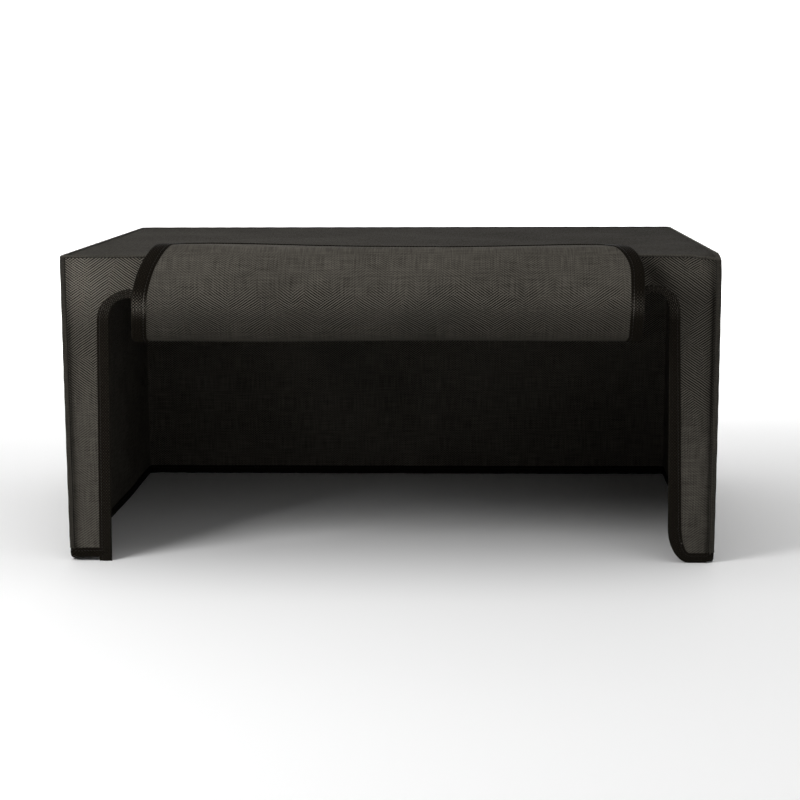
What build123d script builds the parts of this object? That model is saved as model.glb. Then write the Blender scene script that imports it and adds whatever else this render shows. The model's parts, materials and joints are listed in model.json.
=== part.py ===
from build123d import *
import math
import os

# A sewn dust cover for a desktop printer: a five-sided cloth box, open underneath, with a wide front
# opening. A flap hangs from the header above the opening, between two slots with rounded tops. At rest
# the flap is lifted: it drops a little, folds forwards and up in a soft roll, and its free end lies on
# the top panel. Cloth edges are bound with tape, and every box edge is a turned and stitched seam.
#
# Frame: millimetres, +Z up, the front faces -Y. The origin is the centre of the bounding box's
# underside, and the hem stands on Z = 0.

# ---- driving dimensions ----

width = 460.0            # over the corner seams, left to right
depth = 360.0            # over the corner seams, front to back
height = 218.0           # hem to the top seams

cloth = 1.0              # coated woven cloth
tape = 0.6               # binding tape, on each side of the cloth and round its edge
seam = 3.5               # side of the turned seam along every box edge
seam_proud = 0.6         # how far a seam stands out from the cloth beside it
seam_round = 1.3         # rounding of a seam's outer edge

leg_inner = 197.5        # half the width of the front opening between its two legs
leg_tape_wide = 8.0      # binding tape beside the opening
hem_tall = 7.0           # binding tape along the bottom edges
slot_radius = 12.0       # the rounded top of the slot between a leg and the flap
slot_top = 27.0          # from the top of the cover down to the slots' tops
tail_drop = 2.6          # how far the left leg's tape hangs past that leg's hem
leg_corner = 15.0        # rounding of the right leg's lower inner corner

flap_tape_wide = 10.0    # binding tape round the flap
fold_drop = 53.0         # from the top of the cover down to the first bend
bend_gap = 0.6           # half the space left between two bands along a bend
fold_turn = 36.0         # turn of each bend in the tight fold, in degrees
fold_bends = 4
arc_turn = 21.5          # turn of each bend in the wide roll over the front edge
arc_bends = 6
fold_band = 7.0          # length of a band inside the fold
rise_band = 22.0         # length of the band that rises from the fold
arc_band = 12.0          # length of a band in the roll
end_band = 58.0          # length of the last band, which lies on the top panel
end_corner = 30.0        # rounding of the flap's free corners
flap_half = 177.0        # half the flap's width at its widest
end_narrowing = 12.0     # how much narrower each side is at the free end

os.makedirs("parts", exist_ok=True)

# ---- the flap's bends and bands ----

turns = [fold_turn] * fold_bends + [arc_turn] * arc_bends
lengths = [fold_band] * (fold_bends - 1) + [rise_band] + [arc_band] * (arc_bends - 1) + [end_band]


def bend_points():
    """Each bend's place, as (distance in front of the front cloth, height above the cover's top), and
    each band's direction in degrees: 0 points forwards and 90 up."""
    points, directions = [(0.0, -fold_drop)], []
    heading = -90.0
    for turn, length in zip(turns, lengths):
        heading += turn
        directions.append(heading)
        out, up = points[-1]
        points.append((out + length * math.cos(math.radians(heading)),
                       up + length * math.sin(math.radians(heading))))
    return points, directions


bends, headings = bend_points()
flap_proud = max(out for out, up in bends) + cloth / 2 + tape - seam_proud - cloth / 2
narrow_from = sum(lengths[:fold_bends])                # the flap narrows from here to its free end
flap_long = sum(lengths)


def half_at(run):
    """Half the flap's width at a distance from the first bend."""
    share = max(0.0, run - narrow_from) / (flap_long - narrow_from)
    return flap_half - end_narrowing * share


# ---- places that follow from them ----

front_y = (flap_proud - depth) / 2
back_y = front_y + depth
mid_y = (front_y + back_y) / 2
side_x = width / 2
skin = seam_proud + cloth                              # from a seam's face to the cloth's inner face
cloth_middle = seam_proud + cloth / 2                  # from a seam's face to the middle of the cloth
panel_half = side_x - seam                             # half the width between two corner seams
panel_top = height - seam
tape_thick = cloth + 2 * tape
slot_x = leg_inner - slot_radius                       # centre of a slot's rounded top
slot_z = height - slot_top - slot_radius
root_half = leg_inner - 2 * slot_radius                # half the flap's width where it hangs
root_z = height - fold_drop + bend_gap                 # lower edge of the flap's hanging root

front_plane = Plane(origin=(0, front_y + cloth_middle, 0), x_dir=(1, 0, 0), z_dir=(0, -1, 0))
back_plane = Plane(origin=(0, back_y - cloth_middle, 0), x_dir=(1, 0, 0), z_dir=(0, -1, 0))


def side_plane(side):
    """The middle plane of a side wall's cloth, drawn in Y and Z. side is -1 for left, 1 for right."""
    return Plane(origin=(side * (side_x - cloth_middle), 0, 0), x_dir=(0, 1, 0), z_dir=(1, 0, 0))


def keep(block, label):
    """Labels a finished piece and writes its STEP file."""
    block.part.label = label
    export_step(block.part, f"parts/{label}.step")


def add_box(low, high, mode=Mode.ADD):
    """A rectangle of the sketch in progress, from one corner to the opposite one."""
    with Locations(((low[0] + high[0]) / 2, (low[1] + high[1]) / 2)):
        Rectangle(high[0] - low[0], high[1] - low[1], mode=mode)


# ---- cloth panels ----

with BuildPart() as top_panel:
    with BuildSketch(Plane.XY.offset(height - skin)):
        add_box((-panel_half, front_y + seam), (panel_half, back_y - seam))
    extrude(amount=cloth)
keep(top_panel, "top_panel")

with BuildPart() as back_panel:
    with BuildSketch(back_plane):
        add_box((-panel_half, tape), (panel_half, panel_top))
    extrude(amount=cloth / 2, both=True)
keep(back_panel, "back_panel")

for side, hand in ((-1, "left"), (1, "right")):
    with BuildPart() as side_panel:
        with BuildSketch(side_plane(side)):
            add_box((front_y + seam, tape), (back_y - seam, panel_top))
        extrude(amount=cloth / 2, both=True)
    keep(side_panel, f"{hand}_side_panel")


def cut_opening(margin):
    """Cuts the front opening and its two slots, grown by margin, from the sketch in progress."""
    add_box((-leg_inner - margin, 0), (leg_inner + margin, root_z), Mode.SUBTRACT)
    for middle in (-slot_x, slot_x):
        reach = slot_radius + margin
        add_box((middle - reach, 0), (middle + reach, slot_z), Mode.SUBTRACT)
        with Locations((middle, slot_z)):
            Circle(reach, mode=Mode.SUBTRACT)


with BuildPart() as front_panel:
    with BuildSketch(front_plane) as front_cut:
        add_box((-panel_half, tape), (panel_half, panel_top))
        cut_opening(tape)
        add_box((-panel_half, 0), (-leg_inner, tail_drop + tape), Mode.SUBTRACT)
        inner_edge = front_cut.vertices().filter_by_position(Axis.X, leg_inner, leg_inner + 2 * tape)
        fillet(inner_edge.sort_by(Axis.Y)[0], leg_corner - tape)
    extrude(amount=cloth / 2, both=True)
keep(front_panel, "front_panel")

# ---- seams along the box edges ----


def seam_strip(start, end, inward, other, label):
    """A turned seam from start to end along a box edge: a square strip whose outer edge is rounded.
    inward and other point from the box edge along its two walls."""
    start, end, inward, other = Vector(start), Vector(end), Vector(inward), Vector(other)
    run = end - start
    if inward.cross(other).dot(run) < 0:
        inward, other = other, inward
    with BuildPart() as strip:
        with BuildSketch(Plane(origin=start, x_dir=inward, z_dir=run.normalized())):
            with BuildLine():
                Polyline((seam_round, 0), (seam, 0), (seam, seam), (0, seam), (0, seam_round))
                RadiusArc((0, seam_round), (seam_round, 0), seam_round, short_sagitta=True)
            make_face()
        extrude(amount=run.length)
    keep(strip, label)


left_leg_hem_top = hem_tall + tail_drop
for side, hand in ((-1, "left"), (1, "right")):
    for wall, wall_y, foot in (
        ("front", front_y, left_leg_hem_top if hand == "left" else hem_tall),
        ("back", back_y, hem_tall),
    ):
        into = 1 if wall == "front" else -1
        seam_strip((side * side_x, wall_y, foot), (side * side_x, wall_y, panel_top),
                   (-side, 0, 0), (0, into, 0), f"{wall}_{hand}_corner_seam")
    seam_strip((side * side_x, front_y + seam, height), (side * side_x, back_y - seam, height),
               (-side, 0, 0), (0, 0, -1), f"top_{hand}_seam")
for wall, wall_y, into in (("front", front_y, 1), ("back", back_y, -1)):
    seam_strip((-side_x, wall_y, height), (side_x, wall_y, height),
               (0, into, 0), (0, 0, -1), f"top_{wall}_seam")

# ---- binding tape on the cover ----
# Each tape is folded round a cloth edge, so its section is a U with the cloth inside it.


def around_cloth(panel):
    """Takes the cloth out of the tape in progress."""
    add(panel.part, mode=Mode.SUBTRACT)


with BuildPart() as left_leg_tape:
    with BuildSketch(front_plane):
        add_box((-leg_inner - leg_tape_wide, 0), (-leg_inner, slot_z))
    extrude(amount=tape_thick / 2, both=True)
    around_cloth(front_panel)
keep(left_leg_tape, "left_leg_tape")

with BuildPart() as left_leg_hem_tape:
    with BuildSketch(front_plane):
        add_box((-side_x, tail_drop), (-leg_inner - leg_tape_wide, left_leg_hem_top))
    extrude(amount=tape_thick / 2, both=True)
    around_cloth(front_panel)
keep(left_leg_hem_tape, "left_leg_hem_tape")

# the right leg's tape runs round its lower corner and on as that leg's hem
with BuildPart() as right_leg_tape:
    with BuildSketch(front_plane):
        with BuildSketch(mode=Mode.PRIVATE) as outside:
            add_box((leg_inner, 0), (side_x, slot_z))
            fillet(outside.vertices().group_by(Axis.X)[0].sort_by(Axis.Y)[0], leg_corner)
        with BuildSketch(mode=Mode.PRIVATE) as inside:
            add_box((leg_inner + leg_tape_wide, hem_tall), (side_x, slot_z))
            fillet(inside.vertices().group_by(Axis.X)[0].sort_by(Axis.Y)[0], leg_corner - hem_tall)
        add(outside.sketch)
        add(inside.sketch, mode=Mode.SUBTRACT)
    extrude(amount=tape_thick / 2, both=True)
    around_cloth(front_panel)
keep(right_leg_tape, "right_leg_tape")

for side, hand in ((-1, "left"), (1, "right")):
    with BuildPart() as slot_tape:
        with BuildSketch(front_plane):
            with Locations((side * slot_x, slot_z)):
                Circle(slot_radius + leg_tape_wide)
                Circle(slot_radius, mode=Mode.SUBTRACT)
                Rectangle(2 * (slot_radius + leg_tape_wide), slot_radius + leg_tape_wide,
                          align=(Align.CENTER, Align.MAX), mode=Mode.SUBTRACT)
        extrude(amount=tape_thick / 2, both=True)
        around_cloth(front_panel)
    keep(slot_tape, f"{hand}_slot_tape")

with BuildPart() as root_tape:
    with BuildSketch(front_plane):
        add_box((-root_half, root_z), (-root_half + flap_tape_wide, slot_z))
        mirror(about=Plane.YZ)
    extrude(amount=tape_thick / 2, both=True)
    around_cloth(front_panel)
keep(root_tape, "flap_tape_root")

for side, hand in ((-1, "left"), (1, "right")):
    with BuildPart() as side_hem:
        with BuildSketch(side_plane(side)):
            add_box((front_y + tape_thick, 0), (back_y - tape_thick, hem_tall))
        extrude(amount=tape_thick / 2, both=True)
        with BuildSketch(side_plane(side)):
            add_box((front_y + seam, tape), (back_y - seam, hem_tall))
        extrude(amount=cloth / 2, both=True, mode=Mode.SUBTRACT)
    keep(side_hem, f"{hand}_hem_tape")

with BuildPart() as back_hem:
    with BuildSketch(back_plane):
        add_box((-side_x, 0), (side_x, hem_tall))
    extrude(amount=tape_thick / 2, both=True)
    around_cloth(back_panel)
keep(back_hem, "back_hem_tape")

# ---- the flap: one cloth and one tape, in bands that turn on the bends between them ----


def band_plane(index):
    """The middle of a band's cloth: local Y runs along the flap, from the band's own bend."""
    out, up = bends[index]
    heading = math.radians(headings[index])
    return Plane(origin=(0, front_plane.origin.Y - out, height + up), x_dir=(1, 0, 0),
                 z_dir=(0, -math.sin(heading), -math.cos(heading)))


def band_outline(index, inset):
    """A band's outline in the sketch in progress, its side edges drawn in by inset."""
    run = sum(lengths[:index])
    last = index == len(lengths) - 1
    near, far = bend_gap, lengths[index] - (inset if last else bend_gap)
    near_half, far_half = half_at(run + near) - inset, half_at(run + far) - inset
    outline = Polygon((-near_half, near), (near_half, near), (far_half, far), (-far_half, far), align=None)
    if last:
        fillet(outline.vertices().sort_by(Axis.Y)[-2:], end_corner - inset)


for index in range(len(lengths)):
    last = index == len(lengths) - 1
    run = sum(lengths[:index])
    with BuildPart() as band:
        with BuildSketch(band_plane(index)):
            band_outline(index, tape)
        extrude(amount=cloth / 2, both=True)
    keep(band, f"flap_cloth_{index + 1:02d}")

    with BuildPart() as band_tape:
        with BuildSketch(band_plane(index)):
            band_outline(index, 0)
            with BuildSketch(mode=Mode.PRIVATE) as middle:
                clear = half_at(run + lengths[index]) - flap_tape_wide
                clear_far = lengths[index] - flap_tape_wide if last else lengths[index]
                add_box((-clear, 0), (clear, clear_far))
                if last:
                    fillet(middle.vertices().sort_by(Axis.Y)[-2:], end_corner - flap_tape_wide)
            add(middle.sketch, mode=Mode.SUBTRACT)
        extrude(amount=tape_thick / 2, both=True)
        around_cloth(band)
    keep(band_tape, f"flap_tape_{index + 1:02d}")

print("front y", round(front_y, 3), "back y", round(back_y, 3), "proud", round(flap_proud, 3))
print("flap length from the header", round(fold_drop - slot_top + flap_long, 1))
for index, ((out, up), heading) in enumerate(zip(bends, headings)):
    print("bend", index + 1, "y", round(front_plane.origin.Y - out, 4), "z", round(height + up, 4),
          "heading", heading)
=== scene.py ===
import json
import math

import bpy
import numpy as np
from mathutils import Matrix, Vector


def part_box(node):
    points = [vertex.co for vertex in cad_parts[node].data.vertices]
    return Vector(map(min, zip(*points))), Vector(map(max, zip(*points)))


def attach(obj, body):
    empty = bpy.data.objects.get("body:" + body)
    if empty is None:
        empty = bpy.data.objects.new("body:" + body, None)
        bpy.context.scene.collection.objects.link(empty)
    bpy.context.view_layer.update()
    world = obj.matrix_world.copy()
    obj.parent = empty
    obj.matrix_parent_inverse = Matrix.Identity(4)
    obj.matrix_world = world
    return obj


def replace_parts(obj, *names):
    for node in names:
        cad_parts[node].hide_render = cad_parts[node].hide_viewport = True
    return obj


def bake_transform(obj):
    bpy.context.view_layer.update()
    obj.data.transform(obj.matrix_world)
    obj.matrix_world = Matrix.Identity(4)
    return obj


# A sewn dust cover for a desktop printer, standing with its front flap folded up over the top.
# Metres, +Z up, and the open front faces -Y. Cloth, tapes and stitches are surfaces over the CAD frame:
# each is drawn in flat cloth coordinates and then placed by the wall, the top or the flap that it is on.

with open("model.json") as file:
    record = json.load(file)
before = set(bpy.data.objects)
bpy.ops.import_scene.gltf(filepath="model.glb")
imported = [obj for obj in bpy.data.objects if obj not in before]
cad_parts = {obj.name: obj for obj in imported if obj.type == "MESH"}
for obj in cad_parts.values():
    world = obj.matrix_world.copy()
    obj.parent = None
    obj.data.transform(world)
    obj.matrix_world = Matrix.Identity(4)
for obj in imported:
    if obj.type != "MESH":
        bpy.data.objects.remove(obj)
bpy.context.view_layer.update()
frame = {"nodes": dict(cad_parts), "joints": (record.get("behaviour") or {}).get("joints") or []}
print("frame loaded,", len(frame["nodes"]), "nodes")

mm = 0.001

# ---- places taken from the frame ----

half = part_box("top_front_seam")[1].x
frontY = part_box("top_front_seam")[0].y
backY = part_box("top_back_seam")[1].y
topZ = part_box("top_front_seam")[1].z
clothY = (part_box("front_panel")[0].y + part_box("front_panel")[1].y) / 2
clothIn = clothY - frontY                       # from a seam's face to the middle of the cloth
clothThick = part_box("top_panel")[1].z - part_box("top_panel")[0].z
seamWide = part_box("top_front_seam")[1].y - frontY
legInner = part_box("right_leg_tape")[0].x
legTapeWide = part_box("left_leg_tape")[1].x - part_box("left_leg_tape")[0].x
slotX = (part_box("right_slot_tape")[0].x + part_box("right_slot_tape")[1].x) / 2
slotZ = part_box("right_slot_tape")[0].z
slotRadius = legInner - slotX
rootHalf = slotX - slotRadius
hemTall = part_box("back_hem_tape")[1].z
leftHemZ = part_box("left_leg_hem_tape")[0].z
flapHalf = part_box("flap_tape_04")[1].x

bendY = np.array([joint["pos_m"][1] for joint in frame["joints"]])
bendZ = np.array([joint["pos_m"][2] for joint in frame["joints"]])
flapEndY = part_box("flap_tape_10")[1].y
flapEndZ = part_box("flap_tape_10")[0].z + clothThick / 2 + 0.6 * mm


# ---- shared shape tools ----

def smooth(value, start, end):
    # 0 before start, 1 after end, an S-shaped rise between them
    share = np.clip((value - start) / (end - start), 0, 1)
    return share * share * (3 - 2 * share)


def unit(vectors):
    return vectors / np.maximum(np.linalg.norm(vectors, axis=-1, keepdims=True), 1e-12)


def stacked(*parts):
    # numbers or arrays side by side in a new last axis
    return np.stack(np.broadcast_arrays(*parts), axis=-1)


def bell(value, reach, centre=0.0):
    # 1 at the centre, falling away as e to the power of -(distance / reach)^2
    return np.exp(-((value - centre) / reach) ** 2)


def leftOf(direction):
    return stacked(-direction[..., 1], direction[..., 0])


def runAlong(path):
    # distance along a path from its first point
    return np.concatenate([[0], np.cumsum(np.linalg.norm(np.diff(path, axis=0), axis=1))])


def line(start, end, step):
    # evenly spaced points from start to end
    start, end = np.array(start, float), np.array(end, float)
    count = max(2, int(math.ceil(np.linalg.norm(end - start) / step)) + 1)
    return start + (end - start) * np.linspace(0, 1, count)[:, None]


def arc(centre, radius, startAngle, endAngle, count=13):
    angle = np.radians(np.linspace(startAngle, endAngle, count))
    return np.array(centre) + radius * stacked(np.cos(angle), np.sin(angle))


def joined(*runs):
    # one path from several, without the doubled points where they meet
    return np.concatenate([runs[0], *[run[1:] for run in runs[1:]]])


def alongPath(path, closed=False):
    # distance from the first point, and the mean direction of the two steps at each point
    ring = np.concatenate([path[-1:], path, path[:1]]) if closed else np.concatenate(
        [2 * path[:1] - path[1:2], path, 2 * path[-1:] - path[-2:-1]])
    steps = np.diff(ring, axis=0)
    return runAlong(path), unit(unit(steps[:-1]) + unit(steps[1:]))


def gridFaces(rows, columns, wrapRows=False, wrapColumns=False):
    # the quads between neighbouring points of a grid of rows x columns
    row = np.arange(rows if wrapRows else rows - 1)[:, None]
    column = np.arange(columns if wrapColumns else columns - 1)[None, :]
    nextRow, nextColumn = (row + 1) % rows, (column + 1) % columns
    corners = [row * columns + column, nextRow * columns + column,
               nextRow * columns + nextColumn, row * columns + nextColumn]
    return stacked(*corners).reshape(-1, 4)


def endCaps(rows, columns):
    # the two faces that close a tube made of rows of columns points
    ring = np.arange(columns)
    return np.stack([ring, ring[::-1] + (rows - 1) * columns])


def enclosed(points, faces):
    # six times the volume inside the faces, positive when they point outwards
    total = 0.0
    for group in faces:
        for second in range(1, group.shape[1] - 1):
            a, b, c = points[group[:, 0]], points[group[:, second]], points[group[:, second + 1]]
            total += float((a * np.cross(b, c)).sum())
    return total


def makePiece(name, points, faces, uv, material, hardFaces=0, normals=None, **masks):
    # faces is a list of arrays, one for each number of corners; the last hardFaces groups get hard edges
    points = points.reshape(-1, 3)
    if enclosed(points, faces) < 0:
        faces = [group[:, ::-1] for group in faces]
    mesh = bpy.data.meshes.new(name)
    mesh.from_pydata(points.tolist(), [], [face for group in faces for face in group.tolist()])
    corner = np.empty(len(mesh.loops), np.int32)
    mesh.loops.foreach_get("vertex_index", corner)
    layer = mesh.uv_layers.new(name="cloth")
    layer.data.foreach_set("uv", uv.reshape(-1, 2)[corner].astype(np.float32).ravel())
    mesh.polygons.foreach_set("use_smooth", np.ones(len(mesh.polygons), bool))
    softLoops = sum(group.size for group in faces[:len(faces) - hardFaces])
    if hardFaces:
        edgeOf = np.empty(len(mesh.loops), np.int32)
        mesh.loops.foreach_get("edge_index", edgeOf)
        sharp = np.zeros(len(mesh.edges), bool)
        sharp[edgeOf[softLoops:]] = True
        mesh.attributes.new("sharp_edge", "BOOLEAN", "EDGE").data.foreach_set("value", sharp)
    for label, value in masks.items():
        layer = mesh.attributes.new(label, "FLOAT", "POINT")
        layer.data.foreach_set("value", np.asarray(value, np.float32).ravel())
    if normals is not None:
        wanted = normals.reshape(-1, 3)[corner]
        wanted[softLoops:] = 0
        mesh.normals_split_custom_set(wanted.tolist())
    mesh.update()
    piece = bpy.data.objects.new(name, mesh)
    bpy.context.scene.collection.objects.link(piece)
    mesh.materials.append(material)
    return piece


def clothShell(name, middle, normal, uv, material, crisp, dull):
    # a sheet with thickness: the grid of middle points moved half the thickness each way along the
    # normals, and rims round the four sides
    rows, columns = middle.shape[:2]
    outer, inner = middle + normal * clothThick / 2, middle - normal * clothThick / 2
    face = gridFaces(rows, columns)
    index = np.arange(rows * columns).reshape(rows, columns)
    border = np.concatenate([index[0, :-1], index[:-1, -1], index[-1, :0:-1], index[:0:-1, 0]])
    after, count = np.roll(border, -1), rows * columns
    rim = np.stack([border, after, after + count, border + count], axis=1)
    outside = unit(np.cross(*[np.gradient(middle, axis=axis) for axis in (0, 1)]))
    if (outside * normal).sum() < 0:
        face = face[:, ::-1]
        rim = rim[:, ::-1]
    sheet = [face, face[:, ::-1] + count, rim]
    bothUv, bothPaintedGlint, bothPaintedShade = (np.stack([value, value]) for value in (uv, crisp, dull))
    return makePiece(name, np.stack([outer, inner]), sheet, bothUv, material, hardFaces=1,
                     normals=np.stack([normal, -normal]), crisp=bothPaintedGlint, dull=bothPaintedShade)


def normalsOf(place, first, second, lift=0.0):
    # the surface's own normals, from the lift direction
    return unit(place(first, second, lift + 0.1 * mm) - place(first, second, lift - 0.1 * mm))


# ---- where flat cloth lies ----

drape = {
    "cornerRound": 2.5 * mm,       # rounding of the walls' upright corners
    "spread": 0.7 * mm,            # how far the top's sides bulge out
    "lean": 1.9 * mm,              # how far the walls' feet stand in
    "wallWave": 0.9 * mm,          # slow waves of the sides and back, always inwards
    "frontWave": 0.35 * mm,        # the same, on the front legs and header
    "wallHeld": 35 * mm,           # how far from an edge the waves start
    "topHeld": 50 * mm,
    "footLift": (2.6 * mm, 3.8 * mm),        # left and right: the front feet's outer corners round off
    "footReach": (3.2 * mm, 2.6 * mm),
    "footTall": 12 * mm,
    "topSag": 1.6 * mm,
    "pucker": 0.22 * mm,           # small gathers along the seams
    "puckerPitch": 9 * mm,
    "puckerReach": 6 * mm,
    "slump": (-0.3 * mm, 0.9 * mm, -3.0 * mm),   # the front right top corner is a little crushed
    "slumpReach": 8 * mm,
    "crease": 0.8 * mm,            # a crease beside that corner
    "creaseIn": 15 * mm,
    "creaseReach": (4 * mm, 10 * mm, 7 * mm),
}


def planOutline():
    # half the walls' outline seen from above, from the front's middle to the back's middle, at the
    # cloth's middle: distance along it, x, y, and the outward direction
    radius = drape["cornerRound"]
    sideX, rearY = half - clothIn, backY - clothIn
    run = joined(
        line((0, clothY), (sideX - radius, clothY), 0.05),
        arc((sideX - radius, clothY + radius), radius, -90, 0, 7),
        line((sideX, clothY + radius), (sideX, rearY - radius), 0.05),
        arc((sideX - radius, rearY - radius), radius, 0, 90, 7),
        line((sideX - radius, rearY), (0, rearY), 0.05))
    distance, direction = alongPath(run)
    return distance, run, -leftOf(direction)


planRun, planPoint, planOut = planOutline()
planHalf = planRun[-1]
cornerRun = half - clothIn - drape["cornerRound"] * (1 - math.pi / 4)   # the upright corners' places
rearCornerRun = planHalf - cornerRun


def gathers(along, distance):
    # small puckers beside a row of stitches, dying out away from it
    pitch = drape["puckerPitch"]
    beat = np.sin(2 * math.pi * along / pitch + 2.2 * np.sin(along / (3.7 * pitch)))
    return -drape["pucker"] * (0.7 + 0.6 * beat) * np.exp(-distance / drape["puckerReach"])


def settle(points):
    # how the whole cover has relaxed: feet a little in, one top corner crushed, a crease beside it
    x, y, z = points[..., 0], points[..., 1], points[..., 2]
    foot = np.clip(1 - z / topZ, 0, 1) ** 1.3
    moved = points.copy()
    moved[..., 0] += (drape["spread"] - drape["lean"] * foot) * np.clip(x / half, -1, 1)
    footLift, footReach = (np.where(x < 0, *drape[part]) for part in ("footLift", "footReach"))
    toFoot = ((np.abs(x) - half) ** 2 + (y - frontY) ** 2) / (2 * footReach ** 2)
    moved[..., 2] += footLift * np.exp(-toFoot - np.maximum(z, 0) / drape["footTall"])
    toCorner = np.linalg.norm(points - (half, frontY, topZ), axis=-1)
    moved += bell(toCorner, math.sqrt(2) * drape["slumpReach"])[..., None] * drape["slump"]
    reachX, reachY, reachZ = drape["creaseReach"]
    beside = bell(x, reachX, half - drape["creaseIn"]) * bell(y, reachY, frontY) * bell(z, reachZ, topZ)
    moved[..., 2] -= drape["crease"] * beside
    return moved


def onWall(run, z, lift):
    # run is the distance along the walls from the front's middle, right positive, going round the back
    run, z = np.broadcast_arrays(np.asarray(run, float), np.asarray(z, float))
    around = (run + planHalf) % (2 * planHalf) - planHalf
    side, distance = np.where(around < 0, -1.0, 1.0), np.abs(around)
    x, y, outX, outY = (np.interp(distance, planRun, part) for part in (*planPoint.T, *planOut.T))
    toCorner = np.minimum(np.abs(distance - cornerRun), np.abs(distance - rearCornerRun))
    toTop = np.maximum(topZ - z, 0)
    free = (1 - bell(toCorner, drape["wallHeld"])) * (1 - bell(toTop, drape["wallHeld"]))
    depth = np.where(distance < cornerRun, drape["frontWave"], drape["wallWave"])
    # two slow waves added together, shifted so that they only go inwards
    wave = np.sin(around / 0.047 + 1.1) * np.sin(z / 0.041 + 0.6) + 0.6 * np.sin(around / 0.023 + z / 0.06)
    stand = lift + depth * (wave - 1.6) * 0.6 * free + gathers(z, toCorner) + gathers(around, toTop)
    return settle(stacked(x * side, y, z) + unit(stacked(outX * side, outY, 0.0)) * stand[..., None])


def onTop(x, y, lift):
    x, y = np.broadcast_arrays(np.asarray(x, float), np.asarray(y, float))
    toSide = np.minimum(half - np.abs(x), np.minimum(y - frontY, backY - y))
    wave = 0.5 * np.sin(x / 0.06 + 0.4) * np.sin(y / 0.05 + 1.2) + 0.3 * np.sin(x / 0.031 - y / 0.045)
    sunk = drape["topSag"] * (1 - bell(toSide, drape["topHeld"])) * (1 + 0.35 * wave)
    return settle(stacked(x, y, topZ - clothIn + lift - sunk + gathers(x + y, toSide)))


# ---- the flap's shape ----

flap = {
    "firstGap": 6 * mm,            # how far above the first bend the cloth starts to turn
    "lastGap": 8 * mm,             # how far past the last bend it has finished turning
    "halfWide": (175.4 * mm, 174.4 * mm),    # left and right of the middle, at the widest
    "narrowing": (17 * mm, 14.4 * mm),       # how much narrower each side is at the free end
    "narrowFrom": (48 * mm, 74 * mm),
    "narrowTo": 131 * mm,
    "foldFull": (2.7 * mm, 0.1 * mm),       # each side's change in the fold
    "foldCorner": (0.8 * mm, 1.7 * mm),      # how far each side draws in at the fold's lowest bend
    "foldRise": 1.7 * mm,          # the fold's bottom stands a little above the pattern
    "cornerRound": 30 * mm,        # the free corners
    "endRise": (2.0 * mm, 0.9 * mm),         # how far each end corner stands off the top
    "wave": 0.35 * mm,
    "tapeWide": (10.4 * mm, 9.3 * mm),
    "columnStep": 3 * mm,
    "rowStep": 1.1 * mm,
}

bendOut = clothY - bendY
bandLong = np.hypot(np.diff(bendOut), np.diff(bendZ))
bendRun = np.concatenate([[0], np.cumsum(bandLong)])
endLong = math.hypot(clothY - flapEndY - bendOut[-1], flapEndZ - bendZ[-1])
flapLong = bendRun[-1] + endLong
endDirection = np.array([clothY - flapEndY - bendOut[-1], flapEndZ - bendZ[-1]]) / endLong


def betweenBends(values, before, after):
    # the middles of the bands, with a value before the first bend and one past the last
    return np.concatenate([[values[0] + before], (values[:-1] + values[1:]) / 2, [values[-1] + after]])


pastOut, pastZ = endDirection * flap["lastGap"]
middleRun = betweenBends(bendRun, -flap["firstGap"], flap["lastGap"])
middlePoint = stacked(betweenBends(bendOut, -bendOut[0], pastOut),
                      betweenBends(bendZ, flap["firstGap"], pastZ))


def flapLine(run):
    # (out, z) of the flap's middle surface and its direction there. Between the middles of two bands it is
    # a parabola whose control point is the bend: M0 (1-t)^2 + 2 B t (1-t) + M1 t^2
    piece = np.clip(np.searchsorted(middleRun, run) - 1, 0, len(bendRun) - 1)
    start, end = middlePoint[piece], middlePoint[piece + 1]
    bend = stacked(bendOut[piece], bendZ[piece])
    share = ((run - middleRun[piece]) / (middleRun[piece + 1] - middleRun[piece]))[..., None]
    inside = np.clip(share, 0, 1)
    point = start * (1 - inside) ** 2 + 2 * bend * inside * (1 - inside) + end * inside ** 2
    direction = unit(2 * (bend - start) * (1 - inside) + 2 * (end - bend) * inside)
    beyond = (share - inside) * (middleRun[piece + 1] - middleRun[piece])[..., None]
    return point + direction * beyond, direction


def flapEdge(run, side):
    # the flap's width on one side of its middle, before its corners are rounded; run is from the first bend
    own = 0 if side < 0 else 1
    edge = rootHalf + (flap["halfWide"][own] - rootHalf) * smooth(run, -14 * mm, 4 * mm)
    edge = edge - flap["narrowing"][own] * smooth(run, flap["narrowFrom"][own], flap["narrowTo"])
    full = smooth(run, -8 * mm, 10 * mm) * (1 - smooth(run, 20 * mm, 50 * mm))
    lowest = smooth(run, -2 * mm, 10 * mm) * (1 - smooth(run, 16 * mm, 25 * mm))
    return edge + flap["foldFull"][own] * full - flap["foldCorner"][own] * lowest


def flapTapeWide(x):
    wideLeft, wideRight = flap["tapeWide"]
    return wideLeft + (wideRight - wideLeft) * smooth(x, -60 * mm, 60 * mm)


def onFlap(x, run, lift):
    # x across, run down the cloth from the first bend; lift is towards the side that faces the viewer
    # when the flap hangs down
    x, run = np.broadcast_arrays(np.asarray(x, float), np.asarray(run, float))
    point, direction = flapLine(run)
    wave = np.sin(x / 0.038 + 0.8) * np.sin(run / 0.021 + 0.4) + 0.7 * np.sin(x / 0.071)
    stand = lift + flap["wave"] * smooth(run, -4 * mm, 25 * mm) * wave
    leftRise, rightRise = flap["endRise"]
    corners = leftRise * smooth(-x, 30 * mm, 150 * mm) + rightRise * smooth(x, 40 * mm, 150 * mm)
    stand = stand - (0.3 * mm + corners) * smooth(run, 86 * mm, 112 * mm)
    rise = flap["foldRise"] * smooth(run, -5 * mm, 8 * mm) * (1 - smooth(run, 24 * mm, 60 * mm))
    out, z = point[..., 0] - direction[..., 1] * stand, point[..., 1] + direction[..., 0] * stand
    return settle(stacked(x, clothY - out, z + rise))


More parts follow.
